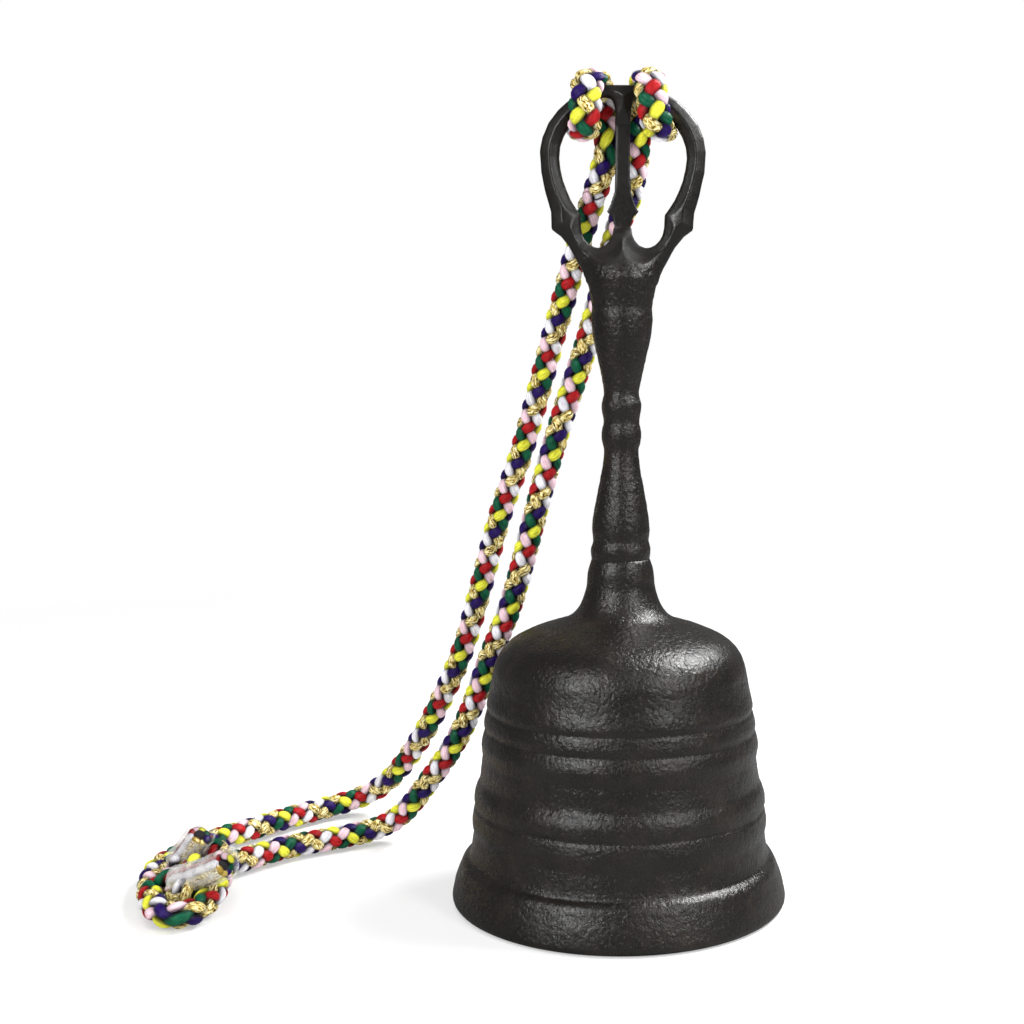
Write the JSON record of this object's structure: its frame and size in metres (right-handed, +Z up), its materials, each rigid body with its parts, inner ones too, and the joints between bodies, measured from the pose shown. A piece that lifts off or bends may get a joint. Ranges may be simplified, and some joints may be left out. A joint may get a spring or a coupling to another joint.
{
  "type": "temple bell",
  "caption": "Cast-iron temple hand bell with a flared ridged body, a turned handle ending in a closed pronged head, a hung clapper and a braided cord knotted at its taped ends.",
  "frame": {"origin": "centre of the lip's flat rest ring, on the surface the bell stands on", "axes": "+Z up along the handle; the prongs of the head lie in the X-Z plane; the cord falls away behind the bell, towards +Y and -X; a viewer in front looks along +Y"},
  "size_m": [0.156, 0.1071, 0.1956],
  "materials": {
    "iron": "fine sand-cast skin, dark brown-black patina, soft satin sheen",
    "steel": "darkened steel",
    "cord": "silky round braid of violet, red, emerald, yellow, white, pale pink and gold lame strands",
    "tape": "thin clear film, slightly milky where it overlaps"
  },
  "bodies": {
    "bell": {"bell_shell": "iron", "handle": "iron", "crown_washer": "steel", "tenon_nut": "steel", "clapper_eye": "steel", "cord_hitch": "cord", "cord_fall_left": "cord", "cord_fall_right": "cord", "cord_knot": "cord", "cord_tail_1": "cord", "cord_tail_2": "cord", "tape_wrap_1": "tape", "tape_wrap_2": "tape"},
    "ring": {"clapper_ring": "steel"},
    "clapper": {"clapper_rod": "iron", "clapper_ball": "iron"}
  },
  "joints": [
    {"name": "ring_swing", "type": "hinge", "parent": "bell", "child": "ring", "pos_m": [0, 0, 0.05035], "axis": [1, 0, 0], "range_deg": [-37, 37]},
    {"name": "clapper_swing", "type": "hinge", "parent": "ring", "child": "clapper", "pos_m": [0, 0, 0.04635], "axis": [0, 1, 0], "range_deg": [-13, 13]}
  ]
}
